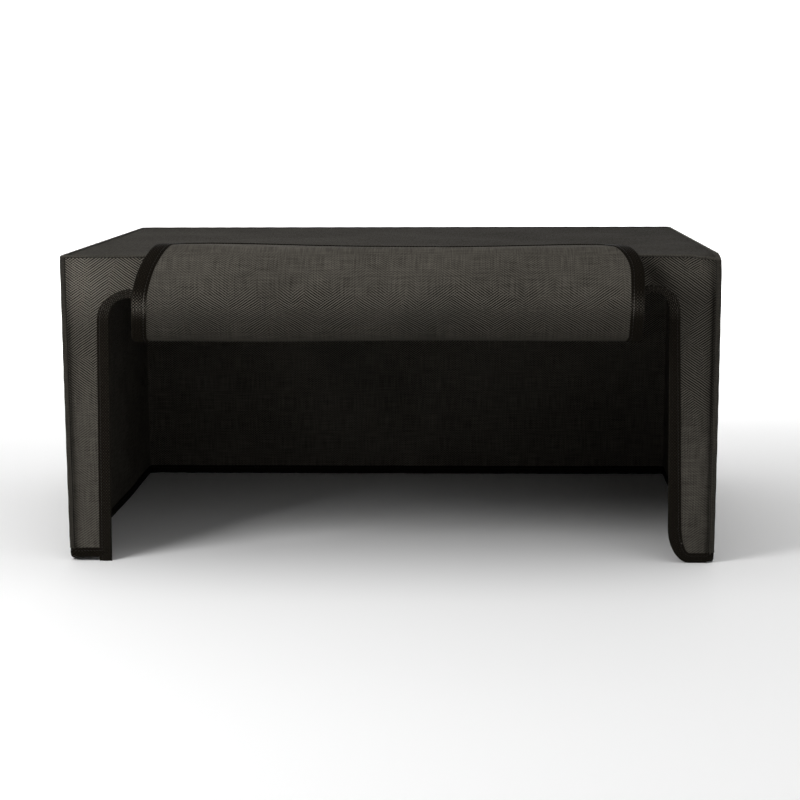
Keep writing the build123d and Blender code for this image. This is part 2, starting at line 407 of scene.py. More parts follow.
print(f"flap runs {flapLong / mm:.1f} mm from its first bend, walls {2 * planHalf:.3f} m round")


# ---- painted glints in the weave and painted shade on the cloth, from 0 to 1 ----

def wallPaintedGlint(z):
    # painted glints in the weave, strongest near the top and weaker towards the hem
    return 0.17 + 0.36 * smooth(z, 0.07, 0.15) + 0.6 * smooth(z, 0.16, 0.19)


def flapPaintedGlint(run):
    # painted glints in the weave, strongest where the rising part of the fold faces forward and weaker
    # towards both bends
    own, root = 0.17 + 0.75 * bell(run, 14 * mm, 45 * mm), wallPaintedGlint(bendZ[0])
    return root + (own - root) * smooth(run, -6 * mm, 10 * mm)


def tapePaintedGlint(path):
    # the flap's tape catches the light only where it turns over the middle of the fold, most on the left
    return (0.57 - 0.3 * smooth(path[:, 0], -60 * mm, 60 * mm)) * bell(path[:, 1], 7 * mm, 51 * mm)


def threadPaintedGlint(path):
    # painted highlight on the flap's stitches over the middle of the fold
    return 0.9 * bell(path[:, 1], 9 * mm, 51 * mm)


def flapPaintedShade(run):
    # painted shade, darkest in the fold
    return 0.5 + smooth(run, -6 * mm, 8 * mm) * (0.04 + 0.38 * (1 - smooth(run, 12 * mm, 62 * mm)))


def wallPaintedShade(run, z):
    # painted light and shade: lighter at the front's top left corner, darker towards the front's right side,
    # painted shade beside the corner seams and a painted shadow where the flap shelters it at the right
    right = smooth(run, -0.1, 0.2) * (1 - smooth(run, 0.3, 0.5))
    right = right * (0.09 + 0.1 * smooth(z, 0.06, 0.12) - 0.17 * smooth(z, 0.185, 0.205))
    left = (1 - smooth(run, -0.22, -0.13)) * smooth(run, -0.35, -0.24)
    left = left * (0.08 - 0.62 * smooth(z, 0.16, 0.2) - 0.08 * (1 - smooth(z, 0.02, 0.1)))
    stitched = cornerRun - np.abs(run) - seamWide
    seam = 0.15 * bell(stitched, 5 * mm) + 0.3 * bell(stitched, 1.3 * mm)
    # painted shadow of the flap on the wall beside the slot at the right
    aside, above = run - 185 * mm, z - 203 * mm
    flapShadow = 0.42 * bell(aside + above, 10 * mm) * bell(aside - above, 22 * mm)
    return 0.5 + right + left + seam + flapShadow


# ---- node groups shared by the finishes ----

def groupTree(name, inputs, outputs):
    # inputs: each name with its own value, a number, a colour, or None for a vector
    tree = bpy.data.node_groups.new(name, "ShaderNodeTree")
    for label, value in inputs.items():
        kind = {float: "NodeSocketFloat", tuple: "NodeSocketColor"}.get(type(value), "NodeSocketVector")
        socket = tree.interface.new_socket(name=label, in_out="INPUT", socket_type=kind)
        if value is not None:
            socket.default_value = value
    for label in outputs:
        kind = "NodeSocketColor" if label == "Color" else "NodeSocketFloat"
        tree.interface.new_socket(name=label, in_out="OUTPUT", socket_type=kind)
    return tree, tree.nodes.new("NodeGroupInput").outputs, tree.nodes.new("NodeGroupOutput").inputs


def node(tree, kind, *sources, **values):
    # sources feed the first inputs
    made = tree.nodes.new(kind)
    for key, value in values.items():
        setattr(made, key, value)
    for index, source in enumerate(sources):
        feed(tree, made.inputs[index], source)
    return made


def feed(tree, target, source):
    # a socket is linked, anything else is its value
    if isinstance(source, bpy.types.NodeSocket):
        tree.links.new(source, target)
    else:
        target.default_value = source


def maths(tree, operation, *sources):
    # further sources repeat the operation on what came before
    result = sources[0]
    for source in sources[1:] or [None]:
        parts = (result,) if source is None else (result, source)
        result = node(tree, "ShaderNodeMath", *parts, operation=operation).outputs[0]
    return result


def times(tree, *sources):
    return maths(tree, "MULTIPLY", *sources)


def plus(tree, *sources):
    return maths(tree, "ADD", *sources)


def wave(tree, value, turn):
    return maths(tree, "SINE", times(tree, value, turn))


def ramp(tree, value, low, high, outLow=0.0, outHigh=1.0):
    return node(tree, "ShaderNodeMapRange", value, low, high, outLow, outHigh,
                interpolation_type="SMOOTHSTEP").outputs[0]


def noise(tree, vector, scale, detail=2.0, roughness=0.5, output="Fac"):
    made = node(tree, "ShaderNodeTexNoise", vector)
    for label, value in (("Scale", scale), ("Detail", detail), ("Roughness", roughness)):
        made.inputs[label].default_value = value
    return made.outputs[output]


def stretched(tree, vector, scale):
    return node(tree, "ShaderNodeVectorMath", vector, scale, operation="MULTIPLY").outputs[0]


def splitUp(tree, vector):
    return node(tree, "ShaderNodeSeparateXYZ", vector).outputs


def mixed(tree, share, first, second):
    made = node(tree, "ShaderNodeMix", data_type="RGBA")
    for index, source in ((0, share), (6, first), (7, second)):
        feed(tree, made.inputs[index], source)
    return made.outputs[2]


def weaveGroup():
    # Two sets of slanting yarn ridges that cross. Which set shows changes in slow patches, as a tight
    # basket weave does. Single yarns differ in shade, and the cloth's coating evens out the deepest gaps.
    tree, given, result = groupTree(
        "tightWeave",
        {"Vector": None, "Pitch": 1.5 * mm, "Contrast": 1.0, "Dark": (0.02, 0.02, 0.02, 1),
         "Light": (0.1, 0.1, 0.1, 1)}, ("Color", "Roughness", "Height"))
    vector = given["Vector"]
    wander = noise(tree, vector, 45, output="Color")
    reach = (1.6 * mm, 1.6 * mm, 0)
    bent = node(tree, "ShaderNodeVectorMath", wander, reach, vector, operation="MULTIPLY_ADD").outputs[0]
    split = splitUp(tree, bent)
    across, down = split[0], times(tree, split[1], 1.42)
    turn = maths(tree, "DIVIDE", 2 * math.pi / math.sqrt(2), given["Pitch"])
    rising = wave(tree, plus(tree, across, down), turn)
    falling = wave(tree, maths(tree, "SUBTRACT", across, down), turn)
    patch = ramp(tree, noise(tree, stretched(tree, vector, (1.0, 0.6, 1.0)), 46, 1.5), 0.42, 0.58)
    slant = plus(tree, times(tree, rising, patch), times(tree, falling, maths(tree, "SUBTRACT", 1.0, patch)))
    fine = maths(tree, "DIVIDE", 2 * math.pi * 1.7, given["Pitch"])
    over = times(tree, wave(tree, across, fine), wave(tree, down, fine))
    strength = times(tree, ramp(tree, noise(tree, vector, 22), 0.3, 0.68, 0.45, 1.25), given["Contrast"])
    height = times(tree, plus(tree, times(tree, slant, 0.36), times(tree, over, 0.16)), strength)
    yarn = plus(tree, *[noise(tree, stretched(tree, vector, scale), 1100, 1.0)
                        for scale in ((1.0, 0.05, 1.0), (0.05, 1.0, 1.0))], -1.0)
    cloud = plus(tree, noise(tree, vector, 14, 3.0), -0.5)
    tone = plus(tree, times(tree, yarn, 0.5), times(tree, cloud, 0.35))
    shade = ramp(tree, plus(tree, height, tone), -0.62, 0.62)
    feed(tree, result["Color"], mixed(tree, shade, given["Dark"], given["Light"]))
    feed(tree, result["Roughness"], ramp(tree, shade, 0.0, 1.0, 0.95, 0.78))
    feed(tree, result["Height"], plus(tree, height, times(tree, yarn, 0.25)))
    return tree


def ribGroup():
    # Binding tape: a small checked weave, the product of a wave across and one along, with faint cords.
    tree, given, result = groupTree(
        "ribbedTape",
        {"Vector": None, "Rib": 1.1 * mm, "Dark": (0.006, 0.006, 0.006, 1), "Light": (0.03, 0.03, 0.03, 1)},
        ("Color", "Roughness", "Height"))
    split = splitUp(tree, given["Vector"])
    turn = maths(tree, "DIVIDE", 2 * math.pi, given["Rib"])
    across, along = wave(tree, split[0], turn), wave(tree, split[1], turn)
    height = plus(tree, times(tree, along, 0.12), times(tree, across, along, 0.7))
    fibre = plus(tree, noise(tree, stretched(tree, given["Vector"], (1.0, 0.2, 1.0)), 1500), -0.5)
    relief = plus(tree, height, fibre)
    shade = ramp(tree, relief, -0.2, 0.75)
    feed(tree, result["Color"], mixed(tree, shade, given["Dark"], given["Light"]))
    feed(tree, result["Roughness"], ramp(tree, shade, 0.0, 1.0, 0.85, 0.55))
    feed(tree, result["Height"], relief)
    return tree


def wearGroup():
    # Rubbed edges: a mask from the piece's own wear value, broken up by noise.
    tree, given, result = groupTree("rubbedEdge", {"Wear": 0.0, "Vector": None, "Amount": 0.5}, ["Mask"])
    broken = noise(tree, given["Vector"], 160, 4.0, 0.65)
    worn = ramp(tree, times(tree, given["Wear"], broken), 0.25, 0.6)
    feed(tree, result["Mask"], times(tree, worn, given["Amount"]))
    return tree


def dustGroup():
    # A thin scatter of pale lint: small specks that only show where a slow noise lets them. On the tape the
    # amount also follows the painted glint mask.
    tree, given, result = groupTree("lint", {"Vector": None, "Amount": 0.3}, ["Mask"])
    cells = node(tree, "ShaderNodeTexVoronoi", given["Vector"])
    cells.inputs["Scale"].default_value = 210
    specks = ramp(tree, cells.outputs["Distance"], 0.05, 0.14, 1.0, 0.0)
    few = ramp(tree, noise(tree, given["Vector"], 60), 0.58, 0.7)
    feed(tree, result["Mask"], times(tree, specks, few, given["Amount"]))
    return tree


weave, ribs, rubbed, lint = weaveGroup(), ribGroup(), wearGroup(), dustGroup()


def placed(tree, group, **values):
    made = node(tree, "ShaderNodeGroup", node_tree=group)
    for key, value in values.items():
        feed(tree, made.inputs[key], value)
    return made.outputs


def finishTree(name, specular):
    made = bpy.data.materials.new(name)
    made.use_nodes = True
    tree = made.node_tree
    shader = tree.nodes["Principled BSDF"].inputs
    shader["Specular IOR Level"].default_value = specular
    flat = node(tree, "ShaderNodeUVMap", uv_map="cloth").outputs[0]
    own = node(tree, "ShaderNodeTexCoord").outputs["Object"]
    return made, tree, shader, flat, own


def stored(tree, name):
    # one of the masks that makePiece stores on a piece's points
    return node(tree, "ShaderNodeAttribute", attribute_name=name).outputs["Fac"]


def aged(tree, own, colour, worn, wornTone, dustAndGlint, dustAndGlintTone):
    # rubbed edges, and lint specks over them, which on the tape are partly painted glints
    edges = placed(tree, rubbed, Wear=stored(tree, "wear"), Vector=own, Amount=worn)[0]
    specks = placed(tree, lint, Vector=own, Amount=dustAndGlint)[0]
    return mixed(tree, specks, mixed(tree, edges, colour, wornTone), dustAndGlintTone)


def bumped(tree, shader, height, distance, strength):
    made = node(tree, "ShaderNodeBump")
    for label, value in (("Strength", strength), ("Distance", distance), ("Height", height)):
        feed(tree, made.inputs[label], value)
    feed(tree, shader["Normal"], made.outputs[0])


clothFinish = {
    "dark": (0.005, 0.0046, 0.0036, 1),
    "light": (0.205, 0.188, 0.160, 1),
    "tint": (0.030, 0.036, 0.034, 1),
    "lint": (0.12, 0.115, 0.10, 1),
    # the dark tone that the painted shade moves the cloth towards
    "soot": (0.0035, 0.0031, 0.0024, 1),
    "pitch": 1.82 * mm,
    "contrast": 3.8,
    "sooted": 0.85,                # how far the painted shade goes towards the shade tone at its fullest
}
tapeFinish = {
    "dark": (0.0036, 0.0028, 0.0018, 1),
    "light": (0.0115, 0.0092, 0.0062, 1),
    "open": (0.24, 0.22, 0.19, 1),           # pale painted glints on the tape, where the glint mask is high
    "worn": (0.018, 0.016, 0.013, 1),
    "lint": (0.3, 0.285, 0.26, 1),
    "rib": 2.2 * mm,
}
threadTones = {
    "dark": (0.003, 0.0027, 0.0022, 1),
    "light": (0.012, 0.0105, 0.0085, 1),
    # pale painted highlight on the stitches, where the glint mask is high
    "core": (0.34, 0.32, 0.28, 1),
    "plies": 9000.0,               # turns of the slant, in radians a metre
}


def wovenMaterial(name, contrast, amountWorn, shadeDown=1.0):
    made, tree, shader, flat, own = finishTree(name, 0.01)
    # the weave's contrast follows the painted glint mask, which paints highlights on the light yarns
    contrast = times(tree, stored(tree, "crisp"), contrast) if contrast > 0 else 0.3
    dark, light = (tuple(c * shadeDown for c in clothFinish[part][:3]) + (1,) for part in ("dark", "light"))
    pitch = clothFinish["pitch"]
    cloth = placed(tree, weave, Vector=flat, Pitch=pitch, Contrast=contrast, Dark=dark, Light=light)
    tint = ramp(tree, noise(tree, own, 9), 0.55, 0.8, 0.0, 0.24)
    colour = mixed(tree, tint, cloth["Color"], clothFinish["tint"])
    colour = aged(tree, own, colour, amountWorn, light, 0.35, clothFinish["lint"])
    # painted shade: the colour is darkened towards the shade tone by the painted shade mask
    dull = times(tree, stored(tree, "dull"), clothFinish["sooted"])
    feed(tree, shader["Base Color"], mixed(tree, dull, colour, clothFinish["soot"]))
    feed(tree, shader["Roughness"], cloth["Roughness"])
    bumped(tree, shader, cloth["Height"], 0.25 * mm, 0.6)
    return made


def tapeMaterial():
    made, tree, shader, flat, own = finishTree("blackBindingTape", 0.03)
    crisp = stored(tree, "crisp")
    # painted glints: the tape's light yarns go pale where the glint mask is high
    light = mixed(tree, crisp, tapeFinish["light"], tapeFinish["open"])
    tape = placed(tree, ribs, Vector=flat, Rib=tapeFinish["rib"], Dark=tapeFinish["dark"], Light=light)
    # more pale specks where the glint mask is high, so there they are partly painted glints
    dustAndGlint = plus(tree, crisp, 0.25)
    colour = aged(tree, own, tape["Color"], 0.5, tapeFinish["worn"], dustAndGlint, tapeFinish["lint"])
    feed(tree, shader["Base Color"], colour)
    feed(tree, shader["Roughness"], tape["Roughness"])
    bumped(tree, shader, tape["Height"], 0.2 * mm, 0.7)
    return made


def threadMaterial():
    # twisted thread: slanting plies along each stitch, dark except for a pale painted highlight where the
    # glint mask is high
    made, tree, shader, flat, own = finishTree("sewingThread", 0.2)
    split = splitUp(tree, flat)
    ply = wave(tree, plus(tree, split[0], split[1]), threadTones["plies"])
    shade = ramp(tree, ply, -1.0, 1.0)
    light = mixed(tree, stored(tree, "crisp"), threadTones["light"], threadTones["core"])
    feed(tree, shader["Base Color"], mixed(tree, shade, threadTones["dark"], light))
    feed(tree, shader["Roughness"], ramp(tree, shade, 0.0, 1.0, 0.7, 0.5))
    bumped(tree, shader, ply, 0.05 * mm, 0.5)
    return made


clothMaterial = wovenMaterial("darkCoatedCloth", clothFinish["contrast"], 0.0)
seamMaterial = wovenMaterial("turnedSeamCloth", 0.0, 0.1, 0.42)
bindingMaterial = tapeMaterial()
threadFinish = threadMaterial()
print("finishes made:", len(bpy.data.materials))


# ---- binding tape ----

tapeShape = {
    "half": 1.1 * mm,              # half the thickness of tape and cloth together
    "round": 1.25 * mm,            # radius of the folded edge
    "puff": 0.22 * mm,
    "groove": 0.24 * mm,           # how deep the stitches pull it in
    "stitchIn": 2.0 * mm,          # from the tape's inner edge to the stitches
    "inner": 0.52 * mm,            # half the room inside for the cloth
    "step": 1.6 * mm,
}


def tapeProfile(wide):
    # The tape's closed outline: distance in from the folded edge, and height off the cloth's middle.
    # Down one face, round the folded edge, back up the other face, and along the inside.
    shape = tapeShape
    away = np.concatenate([[1.0, 0.99, 0.965], np.linspace(0.92, 0.24, 12)]) * wide
    height = (shape["half"] + shape["puff"] * np.sin(math.pi * away / wide)
              - shape["groove"] * bell(away, 0.55 * mm, wide - shape["stitchIn"])
              - 0.45 * mm * smooth(away, wide - 0.35 * mm, wide))
    turn = np.radians(np.linspace(78, -78, 9))
    foldAway, foldHeight = shape["round"] * (1 - np.cos(turn)), shape["round"] * np.sin(turn)
    inside = np.array([0.97 * wide, 0.5 * wide, 0.8 * mm])
    insideHeight = np.repeat([-shape["inner"], shape["inner"]], 3)
    return (np.concatenate([away, foldAway, away[::-1], inside, inside[::-1]]),
            np.concatenate([height, foldHeight, -height[::-1], insideHeight]))


def tapeAlong(name, runs, place, paintedGlintAt):
    # runs: (path in flat coordinates, hand, wide). hand is 1 where the cloth is on the left of the path.
    # Each path point moves in by the profile's distance and lifts by its height.
    points, uvs, wears, paintedGlints, quads, caps, start = [], [], [], [], [], [], 0
    for path, hand, wide in runs:
        run, direction = alongPath(path)
        inward = hand * leftOf(direction)
        reference = float(np.max(wide))
        away, height = tapeProfile(reference)
        edge = tapeShape["round"]
        spread = (np.broadcast_to(wide, run.shape)[:, None] - edge) / (reference - edge)
        distance = np.where(away > edge, edge + (away - edge) * spread, away)
        flat = path[:, None, :] + inward[:, None, :] * distance[..., None]
        grid = place(flat[..., 0], flat[..., 1], np.broadcast_to(height, distance.shape))
        rows, columns = grid.shape[:2]
        points.append(grid.reshape(-1, 3))
        uvs.append(stacked(runAlong(stacked(away, height))[None, :], run[:, None]).reshape(-1, 2))
        wears.append(np.broadcast_to(bell(away, 1.2 * mm), distance.shape).ravel())
        paintedGlints.append(np.broadcast_to(paintedGlintAt(path)[:, None], distance.shape).ravel())
        quads.append(gridFaces(rows, columns, wrapColumns=True) + start)
        caps.append(endCaps(rows, columns) + start)
        start += rows * columns
    points, quads, caps, uvs, wears, paintedGlints = map(np.concatenate, (points, quads, caps, uvs, wears, paintedGlints))
    return makePiece(name, points, [quads, caps], uvs, bindingMaterial, hardFaces=1, wear=wears, crisp=paintedGlints)


# ---- stitches ----

stitch = {"pitch": 2.2 * mm, "long": 1.55 * mm, "thick": 0.42 * mm, "sides": 6, "rings": 4}


def grain():
    # One stitch, a rice grain along X: rings whose radius follows sqrt(1 - u^4), closed by a point each end
    sides, last = stitch["sides"], (stitch["rings"] - 1) * stitch["sides"]
    u = np.cos(np.linspace(0.22, 0.78, stitch["rings"]) * math.pi)[:, None] * 1.15
    turn = np.arange(sides) * 2 * math.pi / sides
    radius = np.sqrt(np.maximum(1 - u ** 4, 0.15)) * stitch["thick"] / 2
    ring = stacked(u * stitch["long"] / 2, radius * np.cos(turn), radius * np.sin(turn)).reshape(-1, 3)
    ends = np.array([[stitch["long"] / 2, 0, 0], [-stitch["long"] / 2, 0, 0]])
    one = np.arange(sides)
    two = (one + 1) % sides
    tips = np.concatenate([stacked(len(ring), one, two), stacked(len(ring) + 1, two + last, one + last)])
    return np.concatenate([ring, ends]), gridFaces(stitch["rings"], sides, wrapColumns=True), tips


grainPoints, grainQuads, grainTips = grain()


def spaced(path):
    # places at the stitch pitch along a path in space or in flat coordinates
    run = runAlong(path)
    count = max(1, int(run[-1] / stitch["pitch"]))
    at = (np.arange(count) + 0.5) * run[-1] / count
    return stacked(*[np.interp(at, run, path[:, axis]) for axis in range(path.shape[1])])


def stitchesAt(name, rows):
    # rows: (centres, directions along, directions up, painted glint). Every stitch is the same grain in that
    # frame.
    centre, along, up = (np.concatenate([row[part] for row in rows]) for part in range(3))
    along, up = unit(along), unit(up)
    frames = np.stack([along, unit(np.cross(up, along)), up], axis=1)
    shape = centre[:, None] + grainPoints @ frames
    count, size = shape.shape[:2]
    first = (np.arange(count) * size)[:, None, None]
    quads, tips = (grainQuads + first).reshape(-1, 4), (grainTips + first).reshape(-1, 3)
    uv = np.broadcast_to(grainPoints[:, :2], (count, size, 2))
    crisp = np.repeat(np.concatenate([np.broadcast_to(row[3], len(row[0])) for row in rows]), size)
    return makePiece(name, shape, [quads, tips], uv, threadFinish, crisp=crisp)


def tapeStitches(runs, place, paintedGlintAt):
    # the stitch rows of a tape: along its path, stitchIn from its inner edge, on the front and the back
    rows = []
    for path, hand, wide in runs:
        inset = np.broadcast_to(wide, len(path))[:, None] - tapeShape["stitchIn"]
        flat = spaced(path + hand * leftOf(alongPath(path)[1]) * inset)
        ahead = flat + alongPath(flat)[1] * 0.3 * mm
        for face in (1, -1):
            height = face * tapeShape["half"]
            centre = place(*flat.T, height)
            rows.append((centre, place(*ahead.T, height) - centre,
                         place(*flat.T, height + face * 0.2 * mm) - centre, paintedGlintAt(flat)))
    return rows


# ---- the cover's cloth ----

panelGrid = {"step": 4 * mm, "tuck": 0.8 * mm, "inSeam": 0.7 * mm}


def wallPanel(name, cadNode, first, last):
    # a wall's cloth between two runs along the walls, its edges tucked into the seams and the hem tape
    runs = np.linspace(first, last, int(abs(last - first) / panelGrid["step"]) + 1)
    heights = np.linspace(panelGrid["tuck"], topZ - panelGrid["inSeam"], 56)
    run, z = np.meshgrid(runs, heights, indexing="ij")
    panel = clothShell(name, onWall(run, z, 0.0), normalsOf(onWall, run, z), stacked(run, z),
                       clothMaterial, wallPaintedGlint(z), wallPaintedShade(run, z))
    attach(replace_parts(panel, cadNode), "cover")
    return panel


leftPanel = wallPanel("leftSidePanel", "left_side_panel", -cornerRun, -rearCornerRun)
rightPanel = wallPanel("rightSidePanel", "right_side_panel", cornerRun, rearCornerRun)
backPanel = wallPanel("backPanel", "back_panel", rearCornerRun, 2 * planHalf - rearCornerRun)

tucked = panelGrid["inSeam"]
topX, topY = np.meshgrid(np.linspace(-half + tucked, half - tucked, 116),
                         np.linspace(frontY + tucked, backY - tucked, 91), indexing="ij")
# the top gets weak painted glints, and painted shade that is darker towards the right
topPanel = clothShell("topPanel", onTop(topX, topY, 0.0), normalsOf(onTop, topX, topY),
                      stacked(topX, topY), clothMaterial, np.full(topX.shape, 0.23),
                      0.83 + 0.065 * smooth(topX, -0.06, 0.18))
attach(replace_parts(topPanel, "top_panel"), "cover")

# The opening's two sides differ a little: how far each leg's edge stands in from the pattern at the slot, how
# far it has moved out at the foot, and the slot's arch.
opening = {
    -1: {"legIn": 1.2 * mm, "footOut": 3.6 * mm, "archIn": 2.6 * mm, "archDrop": 5.4 * mm, "rise": 14 * mm},
    1: {"legIn": 3.3 * mm, "footOut": 3.0 * mm, "archIn": 2.8 * mm, "archDrop": 0.0, "rise": 13 * mm},
    "footRound": (16 * mm, 26 * mm),
    "archSteps": 33,
    "rootSteps": 6,
}


def legEdge(z, side):
    own = opening[side]
    return legInner - own["legIn"] + own["footOut"] * np.clip(1 - z / (slotZ - own["archDrop"]), 0, 1)


def archCurve(side, share):
    # the slot's arch in two quarters of ellipses, from the leg (share 0) over the top (1) to the root (2)
    own = opening[side]
    centreX, centreZ = slotX - own["archIn"], slotZ - own["archDrop"]
    angle = share * math.pi / 2
    outside, inside = legEdge(centreZ, side) - centreX, centreX - flapEdge(bendZ[0] - centreZ, side)
    return stacked(centreX + np.where(share < 1, outside, inside) * np.cos(angle),
                   centreZ + own["rise"] * np.sin(angle))


def rootSide(side, count):
    run = np.linspace(bendZ[0] - slotZ + opening[side]["archDrop"], -flap["firstGap"], count)
    return stacked(flapEdge(run, side), bendZ[0] - run)


def legRun(side, low, step):
    z = np.linspace(low, slotZ - opening[side]["archDrop"], int((slotZ - low) / step))
    return stacked(legEdge(z, side), z)


def inset(path, distance):
    # moves a path into the cloth, which is on the outer side of the opening's edge
    return path - distance * leftOf(alongPath(path)[1])


def openingSide(side, low, distance=0.0):
    # one side of the opening's edge, x counted outwards, from the foot to the end of the flap's root
    if side > 0:
        roundX, roundZ = opening["footRound"]
        corner = legEdge(roundZ, 1) + roundX
        foot = joined(line((cornerRun + 4 * mm, 0), (corner, 0), 1.6 * mm),
                      arc((0, 0), 1, 270, 180, 19) * (roundX, roundZ) + (corner, roundZ))
        leg = joined(foot, legRun(1, roundZ, 1.6 * mm))
    else:
        leg = legRun(-1, low, 1.6 * mm)
    arch = archCurve(side, np.linspace(0, 2, opening["archSteps"]))
    return inset(joined(leg, arch, rootSide(side, opening["rootSteps"])), distance)


def frontHalf(side):
    # A ruled grid from the opening's edge to the panel's outer edge. Beside the leg the rulings are level,
    # the arch's outer quarter fans up the side to the top corner, its inner quarter fans along the top, and
    # the last rulings stand nearly upright at the end of the flap's root.
    top = topZ - tucked
    low = leftHemZ + panelGrid["tuck"] if side < 0 else 0.0
    inner = openingSide(side, low, panelGrid["tuck"])
    if side > 0:
        inner = inner[inner[:, 0] <= cornerRun]
        inner = inner[np.argmax(inner[:, 0] < cornerRun - 3 * mm):]
    archZ = slotZ - opening[side]["archDrop"]
    count, archSteps = len(inner), opening["archSteps"]
    step = np.arange(count)
    archEnd = count - opening["rootSteps"]
    legEnd, archTop = archEnd + 1 - archSteps, archEnd + 1 - (archSteps + 1) // 2
    keys = [0, legEnd, archTop, archTop + 6, archEnd, count - 1]
    rootX = inner[-1, 0]
    outerX = np.interp(step, keys, [cornerRun] * 3 + [rootX + 14 * mm, rootX + 1 * mm, rootX - 8 * mm])
    outerZ = np.interp(step, keys, [0, archZ, top, top, top, top])
    outerZ[:legEnd] = np.minimum(inner[:legEnd, 1], archZ)
    across = np.linspace(0, 1, 19)[None, :, None]
    grid = inner[:, None] * (1 - across) + stacked(outerX, outerZ)[:, None] * across
    grid[..., 0] *= side
    return grid


leftGrid, rightGrid = frontHalf(-1), frontHalf(1)[::-1]
between = np.linspace(0, 1, 120)[1:-1, None, None]
flatFront = np.concatenate([leftGrid, leftGrid[-1] * (1 - between) + rightGrid[0] * between, rightGrid])
frontRun, frontZ = flatFront[..., 0], flatFront[..., 1]
frontPanel = clothShell("frontPanel", onWall(frontRun, frontZ, 0.0), normalsOf(onWall, frontRun, frontZ),
                        flatFront, clothMaterial, wallPaintedGlint(frontZ), wallPaintedShade(frontRun, frontZ))
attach(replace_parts(frontPanel, "front_panel"), "cover")
print("cloth panels made")

# ---- binding tape on the cover ----

leftOutline = openingSide(-1, 0.0) * (-1, 1)
rightOutline = openingSide(1, 0.0)

tapeWidth = {
    0: {"more": 0.9 * mm, "footMore": 0.0},  # the left leg, whose tape ends at the foot
    1: {"more": -0.2 * mm, "footMore": 1.9 * mm},
    "footTall": 0.16,
    "archLess": 2.9 * mm,
}


def wideAlong(path, hem):
    # The tape beside the opening. On the right it widens a little towards the foot, where it turns into the
    # hem. It draws in over the slot's arch, and past the slot it is as wide as the flap's tape.
    run, _ = alongPath(path)
    fromEnd = run[-1] - run
    own, low = tapeWidth[hem], np.clip(1 - path[:, 1] / tapeWidth["footTall"], 0, 1)
    beside = legTapeWide + own["more"] + own["footMore"] * low
    wide = beside + (flapTapeWide(path[-1, 0]) - beside) * (1 - smooth(fromEnd, 2 * mm, 16 * mm))
    wide = wide - tapeWidth["archLess"] * bell(fromEnd, 10 * mm, 26 * mm)
    return wide + (hemTall - wide) * hem * (1 - smooth(run, 20 * mm, 48 * mm))


def openingPaintedGlint(path):
    # painted glints on the tape where it is bent round the slot's arch, a little more on the left
    return 0.035 + 0.015 * (path[:, 0] < 0) + 0.17 * smooth(path[:, 1], slotZ - 8 * mm, slotZ + 2 * mm)


def hemPaintedGlint(path):
    return np.full(len(path), 0.02)


leftRuns = [(leftOutline, 1, wideAlong(leftOutline, 0))]
rightRuns = [(rightOutline, -1, wideAlong(rightOutline, 1))]
leftTape = tapeAlong("leftOpeningTape", leftRuns, onWall, openingPaintedGlint)
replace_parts(leftTape, "left_leg_tape", "left_slot_tape", "flap_tape_root")
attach(leftTape, "cover")
rightTape = tapeAlong("rightOpeningTape", rightRuns, onWall, openingPaintedGlint)
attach(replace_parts(rightTape, "right_leg_tape", "right_slot_tape"), "cover")

# the hem runs from the left leg round the left side, the back and the right side to the right front corner
hemCorners = [cornerRun, rearCornerRun, 2 * planHalf - rearCornerRun, 2 * planHalf - cornerRun]
hemStops = [legInner + 5 * mm] + [corner + side * 6 * mm for corner in hemCorners for side in (-1, 1)]
hemStops[-1] = hemCorners[-1] + 0.5 * mm
hemSteps = [2 * mm] + [0.6 * mm, 4 * mm] * 3 + [0.6 * mm]   # finer round the corners
hemTravel = np.concatenate([np.arange(*stretch) for stretch in zip(hemStops, hemStops[1:], hemSteps)])
hemZ = leftHemZ * (1 - smooth(hemTravel, cornerRun - 12 * mm, cornerRun + 14 * mm))
hemRuns = [(stacked(-hemTravel, hemZ), -1, hemTall)]
hemTape = tapeAlong("hemTape", hemRuns, onWall, hemPaintedGlint)
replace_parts(hemTape, "left_leg_hem_tape", "left_hem_tape", "right_hem_tape", "back_hem_tape")
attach(hemTape, "cover")

coverStitches = stitchesAt(
    "coverTapeStitches",
    tapeStitches(leftRuns + rightRuns, onWall, openingPaintedGlint) + tapeStitches(hemRuns, onWall, hemPaintedGlint))
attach(coverStitches, "cover")
print("cover tapes made")

# ---- turned seams along the box edges ----

seamShape = {
    "round": 1.1 * mm,
    "swell": 0.1 * mm,
    "foot": 0.85 * mm,             # how deep its sides reach
    "lip": 0.05 * mm,
    "drop": 0.25 * mm,
    "ringRound": 2.6 * mm,         # the top's corners
    "thin": 1.5 * mm,              # how far a seam comes down the walls' faces
    "stitchSunk": 0.42 * mm,
    "rubbed": 1.8 * mm,
}


def seamProfile(wideOne, wideTwo):
    # Closed outline of a turned seam along a box edge: distance in from one face, and in from the other. One
    # flat, a quarter turn of the edge, the other flat, and a foot at each end that drops to the cloth. The
    # flats swell a little between the edge and their stitches.
    radius, foot, lip, drop = (seamShape[part] for part in ("round", "foot", "lip", "drop"))
    turn = np.radians(np.linspace(90, 0, 8))
    flatOne, flatTwo = np.linspace(wideOne, radius, 6)[:-1], np.linspace(radius, wideTwo, 6)[1:]
    swellOne, swellTwo = (-seamShape["swell"] * np.sin(math.pi * (flat - radius) / (wide - radius))
                          for flat, wide in ((flatOne, wideOne), (flatTwo, wideTwo)))
    first = np.concatenate([[wideOne + 3 * lip, wideOne + lip], flatOne, radius * (1 - np.cos(turn)),
                            swellTwo, [drop, foot, foot + lip]])
    second = np.concatenate([[foot, drop], swellOne, radius * (1 - np.sin(turn)),
                             flatTwo, [wideTwo + lip, wideTwo + 3 * lip, foot + lip]])
    return first, second


def rubbedSeam(first, second):
    return bell(first + second, seamShape["rubbed"])


